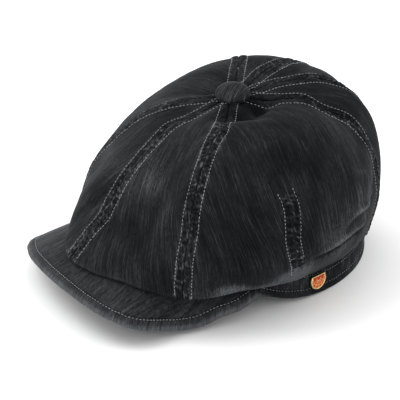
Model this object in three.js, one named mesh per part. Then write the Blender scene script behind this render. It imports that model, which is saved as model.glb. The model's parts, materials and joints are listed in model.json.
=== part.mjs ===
// A soft canvas cap with a gathered seven-panel crown, a head band, a curved peak,
// a covered button on top and a small enamelled badge on the band.
// Millimetres, +Z up. The peak points along -Y and the wearer's left ear is on +X.
// An azimuth is counted in degrees from the peak, towards the wearer's left.

import * as THREE from "three";

// Head band
const BAND_HALF_WIDTH = 79;
const BAND_FRONT = 97;
const BAND_BACK = 97.5;
const BAND_HEIGHT = 24;
const BAND_WALL = 2.6;
const BAND_EDGE = 0.5;
const BAND_RISE = 44;

// Crown
const CROWN_HEIGHT = 127.5;
const CLOTH_THICKNESS = 2;
const OVERHANG = 32;
const FOLD_DEPTH = 4;
const TIP_RING = 8;
const TIP_DIP = 8.1;

// Peak
const PEAK_REACH = 54;
const PEAK_WALL = 3.2;
const PEAK_EDGE_HEIGHT = 21.4;
const PEAK_BOW = 1.5;

// Button
const BUTTON_WIDTH = 23.5;
const BUTTON_HEIGHT = 8.4;
const BUTTON_POST = 5;
const BUTTON_LIFT = 1;
const BUTTON_UNDERCUT = 12;
const BUTTON_LEAN = 5;
const BUTTON_LEAN_AZIMUTH = 40;

// Badge
const BADGE_WIDTH = 14;
const BADGE_TOP_WIDTH = 12;
const BADGE_HEIGHT = 10.5;
const BADGE_THICKNESS = 1.6;
const BADGE_RIM = 1.1;
const BADGE_AZIMUTH = 95;
const BADGE_CENTRE_HEIGHT = 11.3;

// Clearance between neighbouring pieces, and of slack cloth over the peak
const GAP = 0.3;
const REST_GAP = 1.1;

// The lower edge of the band, as a share of BAND_RISE, for azimuths on either side.
const BAND_ARCH = [
  { azimuth: 0, rise: 1.0 },
  { azimuth: 20, rise: 0.93 },
  { azimuth: 40, rise: 0.68 },
  { azimuth: 61, rise: 0.33 },
  { azimuth: 78, rise: 0.12 },
  { azimuth: 92, rise: 0.04 },
  { azimuth: 108, rise: 0.0 },
  { azimuth: 180, rise: 0.0 },
];

// Crown sections. "top" and "foot" are the azimuths of a section at the button and at the hem.
// Then come five stations down the cloth: crest, shoulder, brow, bulge and low. Each has its
// distance out, as a share of the band's radius on that side, and its height, as a share of
// CROWN_HEIGHT. The hem's lap is a share of OVERHANG and its lift a share of BAND_HEIGHT
// above the band's lower edge. "sewn" says how far up the band the cloth is sewn on.
// A section with a seam name lies on a seam between two panels.
const SECTION_COLUMNS = [
  "seam", "top", "foot",
  "crestOut", "crestUp", "shoulderOut", "shoulderUp", "browOut", "browUp",
  "bulgeOut", "bulgeUp", "lowOut", "lowUp", "lap", "lift", "sewn",
];
const SECTIONS = [
  ["front", 0, -6, 0.31, 0.9, 0.58, 0.86, 0.87, 0.71, 1.04, 0.57, 1.13, 0.44, 0.94, -0.26, 0.0],
  ["", 18, 14, 0.36, 0.94, 0.67, 0.87, 0.97, 0.69, 1.11, 0.53, 1.2, 0.4, 0.88, -0.27, 0.0],
  ["front_left", 39, 35, 0.41, 0.94, 0.7, 0.94, 1.01, 0.84, 1.2, 0.67, 1.3, 0.46, 0.84, -0.13, 0.1],
  ["", 60, 56, 0.48, 0.96, 0.85, 0.91, 1.16, 0.76, 1.31, 0.58, 1.33, 0.37, 0.34, 0.33, 0.6],
  ["", 84, 82, 0.51, 0.95, 0.88, 0.9, 1.19, 0.74, 1.33, 0.54, 1.31, 0.34, 0.1, 0.73, 1.0],
  ["", 112, 110, 0.47, 0.94, 0.84, 0.9, 1.11, 0.74, 1.25, 0.54, 1.21, 0.32, 0.06, 0.92, 1.0],
  ["back_left", 138, 138, 0.39, 0.93, 0.64, 0.9, 0.91, 0.8, 1.07, 0.6, 1.115, 0.39, 0.05, 0.88, 1.0],
  ["", 155, 155, 0.39, 0.95, 0.66, 0.93, 0.955, 0.825, 1.1, 0.62, 1.11, 0.39, 0.08, 0.86, 1.0],
  ["centre_left", 170, 170, 0.37, 0.96, 0.62, 0.96, 0.88, 0.86, 1.02, 0.64, 1.06, 0.39, 0.06, 0.85, 1.0],
  ["", 180, 180, 0.37, 0.97, 0.64, 0.96, 0.89, 0.86, 1.03, 0.63, 1.06, 0.38, 0.07, 0.85, 1.0],
  ["centre_right", 192, 192, 0.37, 0.98, 0.62, 0.98, 0.86, 0.87, 1.02, 0.63, 1.06, 0.38, 0.06, 0.85, 1.0],
  ["", 205, 205, 0.39, 1.0, 0.69, 0.97, 0.92, 0.84, 1.06, 0.62, 1.08, 0.38, 0.07, 0.86, 1.0],
  ["back_right", 224, 224, 0.39, 0.98, 0.68, 0.96, 0.93, 0.82, 1.09, 0.61, 1.13, 0.38, 0.08, 0.88, 1.0],
  ["", 248, 248, 0.42, 0.96, 0.77, 0.905, 1.065, 0.747, 1.21, 0.55, 1.21, 0.34, 0.1, 0.86, 1.0],
  ["", 272, 272, 0.43, 0.935, 0.78, 0.85, 1.085, 0.68, 1.24, 0.5, 1.24, 0.32, 0.1, 0.76, 1.0],
  ["", 297, 299, 0.42, 0.915, 0.73, 0.827, 1.0, 0.668, 1.18, 0.48, 1.22, 0.32, 0.23, 0.42, 0.6],
  ["front_right", 322, 322, 0.38, 0.92, 0.65, 0.84, 0.9, 0.68, 1.07, 0.53, 1.14, 0.38, 0.46, 0.11, 0.1],
  ["", 342, 338, 0.36, 0.9, 0.63, 0.85, 0.9, 0.69, 1.08, 0.56, 1.17, 0.41, 0.62, -0.05, 0.0],
];

// How far down the cloth each station lies, from 0 at the button to 1 at the hem.
const STATION_FALLS = [0, 0.16, 0.36, 0.56, 0.72, 0.87, 1];
const OUT_COLUMNS = ["crestOut", "shoulderOut", "browOut", "bulgeOut", "lowOut"];
const UP_COLUMNS = ["crestUp", "shoulderUp", "browUp", "bulgeUp", "lowUp"];

// Folds and dents of the slack crown: where they lie, how far they spread along the two
// directions, and their depth as a share of FOLD_DEPTH. A negative depth is a hollow.
const FOLDS = [
  { turn: 14, turnSpread: 9, fall: 0.7, fallSpread: 0.11, depth: -0.45 },
  { turn: 52, turnSpread: 9, fall: 0.3, fallSpread: 0.09, depth: -0.55 },
  { turn: 36, turnSpread: 13, fall: 0.12, fallSpread: 0.06, depth: -1.1 },
  { turn: 64, turnSpread: 16, fall: 0.1, fallSpread: 0.05, depth: -1.9 },
  { turn: 97, turnSpread: 18, fall: 0.07, fallSpread: 0.04, depth: -1.9 },
  { turn: 127, turnSpread: 12, fall: 0.09, fallSpread: 0.045, depth: -1.0 },
  { turn: 62, turnSpread: 22, fall: 0.2, fallSpread: 0.04, depth: 0.6 },
  { turn: 34, turnSpread: 12, fall: 0.27, fallSpread: 0.05, depth: 0.35 },
  { turn: 66, turnSpread: 9, fall: 0.78, fallSpread: 0.09, depth: 0.4 },
  { turn: 122, turnSpread: 11, fall: 0.8, fallSpread: 0.06, depth: -0.8 },
  { turn: 128, turnSpread: 12, fall: 0.66, fallSpread: 0.06, depth: 0.5 },
  { turn: 160, turnSpread: 8, fall: 0.76, fallSpread: 0.07, depth: -0.6 },
  { turn: 196, turnSpread: 9, fall: 0.7, fallSpread: 0.07, depth: -0.6 },
  { turn: 236, turnSpread: 10, fall: 0.78, fallSpread: 0.08, depth: -0.8 },
  { turn: 264, turnSpread: 12, fall: 0.66, fallSpread: 0.08, depth: 0.5 },
  { turn: 288, turnSpread: 10, fall: 0.8, fallSpread: 0.08, depth: -0.7 },
  { turn: 334, turnSpread: 9, fall: 0.68, fallSpread: 0.1, depth: -0.45 },
];

// The peak's outline: how far its edge stands out from the band, as a share of PEAK_REACH,
// and the height of its underside there, as a share of PEAK_EDGE_HEIGHT.
const PEAK_OUTLINE = [
  { azimuth: -66, reach: 0.05, height: 0.5 },
  { azimuth: -60, reach: 0.22, height: 0.33 },
  { azimuth: -54, reach: 0.4, height: 0.22 },
  { azimuth: -46, reach: 0.72, height: 0.32 },
  { azimuth: -38, reach: 0.88, height: 0.57 },
  { azimuth: -28, reach: 0.89, height: 0.8 },
  { azimuth: -14, reach: 0.84, height: 0.96 },
  { azimuth: 0, reach: 0.86, height: 1.0 },
  { azimuth: 10, reach: 0.94, height: 0.94 },
  { azimuth: 17, reach: 0.99, height: 0.83 },
  { azimuth: 22, reach: 0.96, height: 0.66 },
  { azimuth: 26, reach: 0.83, height: 0.47 },
  { azimuth: 30, reach: 0.63, height: 0.28 },
  { azimuth: 35, reach: 0.45, height: 0.14 },
  { azimuth: 40, reach: 0.37, height: 0.19 },
  { azimuth: 45, reach: 0.31, height: 0.35 },
  { azimuth: 52, reach: 0.265, height: 0.5 },
  { azimuth: 57, reach: 0.16, height: 0.56 },
  { azimuth: 61, reach: 0.08, height: 0.62 },
];

// Degrees in a whole turn
const FULL_TURN = 360;

// Fineness of the faceting
const CROWN_STEP = 6.5;
const BAND_STEPS = 72;
const PEAK_STEP = 2.7;
const PEAK_SPANS = 7;
const DOME_STEPS = 6;
const BUTTON_STEPS = 24;
const BADGE_STEPS = 12;
const UNDER_FALLS = [0.3, 0.65, 1];
const FALLS = [0, 0.05, 0.1, 0.16, 0.22, 0.29, 0.37, 0.46, 0.56, 0.66, 0.75, 0.84, 0.92, 1];

// Small proportions of the folded hem, in cloth thicknesses
const HEM_TUCK = 0.8;
const HEM_SINK = 0.9;
const HEM_CORNER_LIMIT = 4.5;

// Smooth curves through tables

// Slopes of a smooth curve through the knots, weighted by the spans on either side.
function knotSlopes(keys, values) {
  const last = keys.length - 1;
  const spans = keys.slice(1).map((key, i) => key - keys[i]);
  const rises = spans.map((span, i) => (values[i + 1] - values[i]) / span);
  return keys.map((key, i) => {
    if (i === 0) return rises[0];
    if (i === last) return rises[last - 1];
    return (rises[i - 1] * spans[i] + rises[i] * spans[i - 1]) / (spans[i - 1] + spans[i]);
  });
}

// The value at one place of the smooth curve through the knots.
function curveThrough(keys, values) {
  const slopes = knotSlopes(keys, values);
  return (key) => {
    let i = 0;
    while (i < keys.length - 2 && key >= keys[i + 1]) i += 1;
    const span = keys[i + 1] - keys[i];
    const s = (key - keys[i]) / span;
    const s2 = s * s;
    const s3 = s2 * s;
    const start = (2 * s3 - 3 * s2 + 1) * values[i] + (s3 - 2 * s2 + s) * span * slopes[i];
    const end = (3 * s2 - 2 * s3) * values[i + 1] + (s3 - s2) * span * slopes[i + 1];
    return start + end;
  };
}

// The same for a table that goes round the cap once, keyed by azimuth.
function curveAround(azimuths, values) {
  const keys = [];
  const loop = [];
  for (const turns of [-1, 0, 1]) {
    azimuths.forEach((azimuth, i) => {
      keys.push(azimuth + FULL_TURN * turns);
      loop.push(values[i](turns));
    });
  }
  return curveThrough(keys, loop);
}

const radians = THREE.MathUtils.degToRad;
const mix = THREE.MathUtils.lerp;
const clamp = THREE.MathUtils.clamp;

// A point from its azimuth, distance from the crown's axis and height.
function placed(azimuth, out, up) {
  const angle = radians(azimuth);
  return new THREE.Vector3(Math.sin(angle) * out, -Math.cos(angle) * out, up);
}

// An azimuth brought to the range -180 to 180.
function signed(azimuth) {
  const half = FULL_TURN / 2;
  return THREE.MathUtils.euclideanModulo(azimuth + half, FULL_TURN) - half;
}

// Head band

// Distance of the band's outer face from the axis: two half ellipses.
function bandRadius(azimuth) {
  const across = Math.sin(radians(azimuth));
  const along = Math.cos(radians(azimuth));
  const length = along > 0 ? BAND_FRONT : BAND_BACK;
  return 1 / Math.hypot(across / BAND_HALF_WIDTH, along / length);
}

const archCurve = curveThrough(
  BAND_ARCH.map((row) => row.azimuth),
  BAND_ARCH.map((row) => row.rise * BAND_RISE),
);

function bandFloor(azimuth) {
  return Math.max(archCurve(Math.abs(signed(azimuth))), 0);
}

// Peak

const peakReach = curveThrough(
  PEAK_OUTLINE.map((row) => row.azimuth),
  PEAK_OUTLINE.map((row) => row.reach * PEAK_REACH),
);
const peakEdge = curveThrough(
  PEAK_OUTLINE.map((row) => row.azimuth),
  PEAK_OUTLINE.map((row) => row.height * PEAK_EDGE_HEIGHT),
);
const PEAK_START = PEAK_OUTLINE[0].azimuth;
const PEAK_END = PEAK_OUTLINE[PEAK_OUTLINE.length - 1].azimuth;

// Where the peak starts at the band and ends at its edge, on one azimuth, by its upper face.
function peakSpoke(azimuth) {
  const inner = bandRadius(azimuth) + GAP;
  return {
    inner,
    outer: inner + peakReach(azimuth),
    innerUp: bandFloor(azimuth) + PEAK_WALL,
    outerUp: peakEdge(azimuth) + PEAK_WALL,
  };
}

function peakUpper(spoke, share) {
  const bow = 4 * PEAK_BOW * share * (1 - share);
  return mix(spoke.innerUp, spoke.outerUp, share) + bow;
}

// Height that cloth must keep above the peak at a place, or null where there is no peak.
function restHeight(azimuth, out) {
  const side = signed(azimuth);
  if (side < PEAK_START || side > PEAK_END) return null;
  const spoke = peakSpoke(side);
  const share = (out - spoke.inner) / (spoke.outer - spoke.inner);
  if (share <= 1) return peakUpper(spoke, Math.max(share, 0)) + REST_GAP;
  const past = out - spoke.outer;
  return past < 2 * PEAK_WALL ? spoke.outerUp + REST_GAP - past : null;
}

function liftedOver(azimuth, out, up) {
  const rest = restHeight(azimuth, out);
  return rest === null ? up : Math.max(up, rest);
}

// Crown cloth

const column = (name) => SECTION_COLUMNS.indexOf(name);
const sectionTops = SECTIONS.map((row) => row[column("top")]);

function aroundCrown(name, grows = 0) {
  const values = SECTIONS.map((row) => (turns) => row[column(name)] + grows * turns);
  return curveAround(sectionTops, values);
}

const footAzimuth = aroundCrown("foot", FULL_TURN);
const outShares = OUT_COLUMNS.map((name) => aroundCrown(name));
const upShares = UP_COLUMNS.map((name) => aroundCrown(name));
const hemLap = aroundCrown("lap");
const hemLift = aroundCrown("lift");
const sewnShare = aroundCrown("sewn");

// The azimuth of a section at some distance down the cloth.
function azimuthDown(turn, fall) {
  const eased = THREE.MathUtils.smoothstep(fall, 0.2, 1);
  return mix(turn, footAzimuth(turn), eased);
}

function foldDepth(turn, fall) {
  let depth = 0;
  for (const fold of FOLDS) {
    const across = signed(turn - fold.turn) / fold.turnSpread;
    const along = (fall - fold.fall) / fold.fallSpread;
    depth += fold.depth * FOLD_DEPTH * Math.exp(-across * across - along * along);
  }
  return depth;
}

// One section of the crown in its own plane: x is the distance out and y the height.
// It gives the right side of the cloth, then the fold of the hem and the way back to the band.
function crownSection(turn) {
  const foot = azimuthDown(turn, 1);
  const hemOut = bandRadius(foot) + GAP + CLOTH_THICKNESS + hemLap(turn) * OVERHANG;
  const hemFree = bandFloor(foot) + hemLift(turn) * BAND_HEIGHT;
  const sink = HEM_SINK * CLOTH_THICKNESS;
  const hemUp = liftedOver(foot, hemOut, hemFree - sink) + sink;

  const outs = outShares.map((share, i) => {
    return share(turn) * bandRadius(azimuthDown(turn, STATION_FALLS[i + 1]));
  });
  const ups = upShares.map((share) => share(turn) * CROWN_HEIGHT);
  const outCurve = curveThrough(STATION_FALLS, [TIP_RING, ...outs, hemOut]);
  const upCurve = curveThrough(STATION_FALLS, [CROWN_HEIGHT - TIP_DIP, ...ups, hemUp]);
  const face = FALLS.map((fall) => new THREE.Vector2(outCurve(fall), upCurve(fall)));
  const normals = face.map((point, i) => {
    const before = face[Math.max(i - 1, 0)];
    const after = face[Math.min(i + 1, face.length - 1)];
    const along = after.clone().sub(before).normalize();
    return new THREE.Vector2(-along.y, along.x);
  });
  normals[0].set(0, 1);
  const folded = face.map((point, i) => {
    return point.clone().addScaledVector(normals[i], foldDepth(turn, FALLS[i]));
  });

  const tip = folded[folded.length - 1];
  const sewnRoom = BAND_HEIGHT - PEAK_WALL - GAP - CLOTH_THICKNESS;
  const sewnUp = bandFloor(foot) + PEAK_WALL + GAP + sewnShare(turn) * sewnRoom;
  const sewn = new THREE.Vector2(bandRadius(foot) + GAP, sewnUp);
  const turned = new THREE.Vector2(tip.x - HEM_TUCK * CLOTH_THICKNESS, tip.y - sink);
  const under = [turned];
  for (const share of UNDER_FALLS) {
    const point = turned.clone().lerp(sewn, share);
    point.y = liftedOver(foot, point.x, point.y);
    under.push(point);
  }

  const inside = folded.slice(0, -1).map((point, i) => {
    return point.clone().addScaledVector(normals[i], -CLOTH_THICKNESS);
  });
  const back = folded[folded.length - 2].clone().sub(tip).normalize();
  const down = under[1].clone().sub(tip).normalize();
  const halfAngle = Math.acos(clamp(back.dot(down), -1, 1)) / 2;
  const reach = CLOTH_THICKNESS * Math.min(1 / Math.sin(halfAngle), HEM_CORNER_LIMIT);
  const corner = tip.clone().addScaledVector(back.clone().add(down).normalize(), reach);
  inside.push(corner.clone().addScaledVector(back, GAP));
  inside.push(corner.clone().addScaledVector(down, GAP));
  for (const point of under.slice(1)) inside.push(new THREE.Vector2(point.x, point.y + CLOTH_THICKNESS));

  const falls = [...FALLS, ...under.map(() => 1)];
  return { falls, outer: [...folded, ...under], inner: inside };
}

// Solids swept through sections

// A section is a pair of equally long lists of points, the outer and the inner side.
// The sections follow each other in the direction of rising azimuth.
function sweptSolid(sections, closed) {
  const pairs = sections[0].outer.length;
  const size = 2 * pairs;
  const positions = [];
  for (const section of sections) {
    for (const point of section.outer) positions.push(point.x, point.y, point.z);
    for (const point of [...section.inner].reverse()) positions.push(point.x, point.y, point.z);
  }
  const faces = [];
  const spans = closed ? sections.length : sections.length - 1;
  for (let i = 0; i < spans; i += 1) {
    const here = i * size;
    const next = ((i + 1) % sections.length) * size;
    for (let j = 0; j < size; j += 1) {
      const k = (j + 1) % size;
      faces.push(here + j, here + k, next + k, here + j, next + k, next + j);
    }
  }
  if (!closed) {
    const last = (sections.length - 1) * size;
    for (let j = 0; j < pairs - 1; j += 1) {
      const outer = [j, j + 1];
      const inner = [size - 1 - j, size - 2 - j];
      faces.push(outer[0], inner[0], inner[1], outer[0], inner[1], outer[1]);
      const end = [outer[0], outer[1], inner[1], outer[0], inner[1], inner[0]];
      faces.push(...end.map((index) => last + index));
    }
  }
  const geometry = new THREE.BufferGeometry();
  geometry.setAttribute("position", new THREE.Float32BufferAttribute(positions, 3));
  geometry.setIndex(faces);
  geometry.computeVertexNormals();
  return geometry;
}

// One crown section in space. "side" is 1 or -1 where the cloth stops short of a seam.
function crownRing(turn, side) {
  const section = crownSection(turn);
  const inSpace = (point, i) => {
    const azimuth = azimuthDown(turn, section.falls[i]);
    const shift = THREE.MathUtils.radToDeg((side * GAP) / 2 / point.x);
    return placed(azimuth + shift, point.x, point.y);
  };
  return { outer: section.outer.map(inSpace), inner: section.inner.map(inSpace) };
}

function crownPanel(from, to) {
  const steps = Math.max(2, Math.round((to - from) / CROWN_STEP));
  const rings = [];
  for (let i = 0; i <= steps; i += 1) {
    const side = (i === 0) - (i === steps);
    rings.push(crownRing(mix(from, to, i / steps), side));
  }
  return sweptSolid(rings, false);
}

function bandGeometry() {
  const rings = [];
  for (let i = 0; i < BAND_STEPS; i += 1) {
    const azimuth = (FULL_TURN * i) / BAND_STEPS;
    const face = bandRadius(azimuth);
    const back = face - BAND_WALL;
    const floor = bandFloor(azimuth);
    const levels = [
      [BAND_EDGE, BAND_HEIGHT],
      [0, BAND_HEIGHT - BAND_EDGE],
      [0, BAND_EDGE],
      [BAND_EDGE, 0],
    ];
    rings.push({
      outer: levels.map(([inset, up]) => placed(azimuth, face - inset, floor + up)),
      inner: levels.map(([inset, up]) => placed(azimuth, back + inset, floor + up)),
    });
  }
  return sweptSolid(rings, true);
}

// One section of the peak: the upper face from the band to the edge, and the lower face.
function peakRing(azimuth) {
  const spoke = peakSpoke(azimuth);
  const upper = [];
  for (let i = 0; i <= PEAK_SPANS; i += 1) {
    const share = i / PEAK_SPANS;
    upper.push(new THREE.Vector2(mix(spoke.inner, spoke.outer, share), peakUpper(spoke, share)));
  }
  const lower = upper.map((point) => point.clone().setY(point.y - PEAK_WALL));
  return {
    outer: upper.map((point) => placed(azimuth, point.x, point.y)),
    inner: lower.map((point) => placed(azimuth, point.x, point.y)),
  };
}

function peakGeometry() {
  const steps = Math.round((PEAK_END - PEAK_START) / PEAK_STEP);
  const rings = [];
  for (let i = 0; i <= steps; i += 1) {
    rings.push(peakRing(mix(PEAK_START, PEAK_END, i / steps)));
  }
  return sweptSolid(rings, false);
}

// The covered button: a low dome whose post fills the ring that the panel tips leave. Above
// the post it leans a little, so that one side is lower than the other.
function buttonGeometry() {
  const radius = BUTTON_WIDTH / 2;
  const post = TIP_RING - GAP;
  const seat = BUTTON_HEIGHT / 4;
  const outline = [new THREE.Vector2(0, -BUTTON_POST)];
  outline.push(new THREE.Vector2(post, -BUTTON_POST));
  outline.push(new THREE.Vector2(post, 0));
  for (let i = 0; i <= DOME_STEPS; i += 1) {
    const angle = radians(mix(-BUTTON_UNDERCUT, 90, i / DOME_STEPS));
    const out = i === DOME_STEPS ? 0 : radius * Math.cos(angle);
    outline.push(new THREE.Vector2(out, seat + (BUTTON_HEIGHT - seat) * Math.sin(angle)));
  }
  const geometry = new THREE.LatheGeometry(outline, BUTTON_STEPS);
  geometry.rotateX(Math.PI / 2);
  const lowSide = placed(BUTTON_LEAN_AZIMUTH, Math.tan(radians(BUTTON_LEAN)), 0);
  const places = geometry.getAttribute("position");
  for (let i = 0; i < places.count; i += 1) {
    const place = new THREE.Vector3().fromBufferAttribute(places, i);
    if (place.z > -BUTTON_POST / 2) places.setZ(i, place.z - place.dot(lowSide));
  }
  return geometry;
}

// Badge: a round-footed shield with a flat top, as a rim and an enamel field inside it.
function shieldShape(inset, path) {
  const half = BADGE_WIDTH / 2 - inset;
  const topHalf = BADGE_TOP_WIDTH / 2 - inset;
  const top = BADGE_HEIGHT / 2 - inset;
  const shoulder = BADGE_WIDTH / 2 - BADGE_HEIGHT / 2;
  path.moveTo(-topHalf, top);
  path.lineTo(-half, shoulder);
  path.absarc(0, shoulder, half, Math.PI, 2 * Math.PI, false);
  path.lineTo(topHalf, top);
  path.closePath();
  return path;
}

function badgeSolid(shape, thickness) {
  const options = { depth: thickness, bevelEnabled: false, curveSegments: BADGE_STEPS };
  return new THREE.ExtrudeGeometry(shape, options);
}

function placeOnBand(mesh) {
  const angle = radians(BADGE_AZIMUTH);
  const sag = (BADGE_WIDTH * BADGE_WIDTH) / 8 / BAND_HALF_WIDTH;
  const out = bandRadius(BADGE_AZIMUTH) + GAP + sag / 2;
  const outward = placed(BADGE_AZIMUTH, 1, 0);
  const up = new THREE.Vector3(0, 0, 1);
  const right = new THREE.Vector3().crossVectors(up, outward);
  const frame = new THREE.Matrix4().makeBasis(right, up, outward);
  mesh.quaternion.setFromRotationMatrix(frame);
  mesh.position.set(Math.sin(angle) * out, -Math.cos(angle) * out, BADGE_CENTRE_HEIGHT);
}

// Assembly

const group = new THREE.Group();

function add(name, geometry, color, roughness, metalness = 0) {
  const material = new THREE.MeshStandardMaterial({ color, roughness, metalness });
  const mesh = new THREE.Mesh(geometry, material);
  mesh.name = name;
  group.add(mesh);
  return mesh;
}

const PANELS = [
  { name: "panel_front_left", from: "front", to: "front_left", color: 0x26282b },
  { name: "panel_side_left", from: "front_left", to: "back_left", color: 0x222426 },
  { name: "panel_back_left", from: "back_left", to: "centre_left", color: 0x2a2c2f },
  { name: "panel_back_centre", from: "centre_left", to: "centre_right", color: 0x2c2e31 },
  { name: "panel_back_right", from: "centre_right", to: "back_right", color: 0x2e3033 },
  { name: "panel_side_right", from: "back_right", to: "front_right", color: 0x2f3134 },
  { name: "panel_front_right", from: "front_right", to: "front", color: 0x2b2d30 },
];

function seamTurn(seam) {
  return SECTIONS.find((row) => row[0] === seam)[column("top")];
}

for (const panel of PANELS) {
  const from = seamTurn(panel.from);
  const to = seamTurn(panel.to);
  add(panel.name, crownPanel(from, to > from ? to : to + FULL_TURN), panel.color, 0.92);
}

add("band", bandGeometry(), 0x2a2c2f, 0.9);
add("peak", peakGeometry(), 0x2c2f32, 0.9);

const button = add("crown_button", buttonGeometry(), 0x35383b, 0.92);
button.position.z = CROWN_HEIGHT - TIP_DIP + BUTTON_LIFT;

const rimShape = shieldShape(0, new THREE.Shape());
rimShape.holes.push(shieldShape(BADGE_RIM, new THREE.Path()));
placeOnBand(add("badge_rim", badgeSolid(rimShape, BADGE_THICKNESS), 0xc89a4a, 0.35, 1));
const enamelShape = shieldShape(BADGE_RIM + GAP, new THREE.Shape());
placeOnBand(add("badge_enamel", badgeSolid(enamelShape, BADGE_THICKNESS - GAP), 0xd9582a, 0.3));

// The origin goes to the middle of the base.
group.updateMatrixWorld(true);
const bounds = new THREE.Box3().setFromObject(group, true);
const middle = bounds.getCenter(new THREE.Vector3());
group.position.set(-middle.x, -middle.y, -bounds.min.z);
group.updateMatrixWorld(true);

export default group;
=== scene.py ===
import json

import bpy
import numpy as np
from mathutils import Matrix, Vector

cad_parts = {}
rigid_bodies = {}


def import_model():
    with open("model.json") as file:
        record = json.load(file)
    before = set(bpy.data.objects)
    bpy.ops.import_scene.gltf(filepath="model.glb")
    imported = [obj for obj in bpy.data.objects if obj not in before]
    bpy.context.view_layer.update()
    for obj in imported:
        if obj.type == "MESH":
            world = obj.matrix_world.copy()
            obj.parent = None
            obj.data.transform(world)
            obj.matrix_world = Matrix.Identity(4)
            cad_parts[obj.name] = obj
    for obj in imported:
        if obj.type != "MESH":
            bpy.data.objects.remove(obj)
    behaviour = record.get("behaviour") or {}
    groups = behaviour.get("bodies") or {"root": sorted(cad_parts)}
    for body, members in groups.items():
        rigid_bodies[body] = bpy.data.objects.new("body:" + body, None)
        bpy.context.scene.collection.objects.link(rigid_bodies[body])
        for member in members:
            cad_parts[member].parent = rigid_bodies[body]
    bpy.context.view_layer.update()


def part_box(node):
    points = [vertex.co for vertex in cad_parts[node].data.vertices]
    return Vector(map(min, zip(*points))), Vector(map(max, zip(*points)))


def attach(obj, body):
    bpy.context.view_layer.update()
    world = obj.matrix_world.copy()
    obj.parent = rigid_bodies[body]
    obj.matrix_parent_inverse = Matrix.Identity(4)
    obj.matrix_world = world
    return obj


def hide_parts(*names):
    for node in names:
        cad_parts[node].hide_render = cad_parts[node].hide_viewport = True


for leftover in list(bpy.data.objects):
    bpy.data.objects.remove(leftover)
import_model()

# A soft canvas cap: seven panels round a covered button, a head band, a curved peak and a
# small enamelled badge. Sizes are in millimetres, +Z up. The peak points along -Y and the
# wearer's left ear is on +X. An azimuth is counted from the peak towards the wearer's left.
MM = 0.001
scene = bpy.context.scene

# Head band
BAND_HALF_WIDTH = 79
BAND_FRONT = 97
BAND_BACK = 97.5
BAND_HEIGHT = 24
BAND_WALL = 2.6
BAND_RISE = 44
BAND_CORNER = 1.1
BAND_ROWS = (5.5, 15)

# Crown
CROWN_HEIGHT = 127.5
CLOTH_THICKNESS = 2
CLOTH = 0.75
OVERHANG = 32
FOLD_DEPTH = 4
TIP_RING = 8
TIP_DIP = 8.1
HEM_SINK = 0.9
HEM_ROLL = 0.7

# Peak
PEAK_REACH = 54
PEAK_WALL = 3.2
PEAK_EDGE_HEIGHT = 21.4
PEAK_BOW = 1.5
PEAK_STITCH = 6.2
PEAK_RIBS = -29

# Button
BUTTON_WIDTH = 23.5
BUTTON_HEIGHT = 8.4
BUTTON_POST = 5
BUTTON_LIFT = 1
BUTTON_LEAN = 5
BUTTON_LEAN_AZIMUTH = 40
BUTTON_STRIPES = 24
BUTTON_SEAT = BUTTON_HEIGHT / 4

# Badge
BADGE_WIDTH = 14
BADGE_TOP_WIDTH = 12
BADGE_HEIGHT = 10.5
BADGE_RIM = 1.1
BADGE_AZIMUTH = 95
BADGE_CENTRE_HEIGHT = 11.3

# Clearances
GAP = 0.3
REST_GAP = 1.1

# Seams and stitching
STITCH_ROW = 5.5
STITCH_PITCH = 2.5
STITCH_LENGTH = 1.8
STITCH_RINGS = 7
THREAD = 0.36
ALLOWANCE_RAISE = 0.7
SEAM_GROOVE = 0.7
SEAM_LINE = 0.55
STITCH_DIP = 0.5
PUCKER_DEPTH = 0.9
PUCKER_WIDTH = 1.7
DART_HALF = 0.78 * STITCH_ROW
HOLLOW_BELOW = 0.011

# The lower edge of the band, as a share of BAND_RISE, for azimuths on either side.
BAND_ARCH = (
    (0, 1.0), (20, 0.93), (40, 0.68), (61, 0.33),
    (78, 0.12), (92, 0.04), (108, 0.0), (180, 0.0),
)

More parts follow.
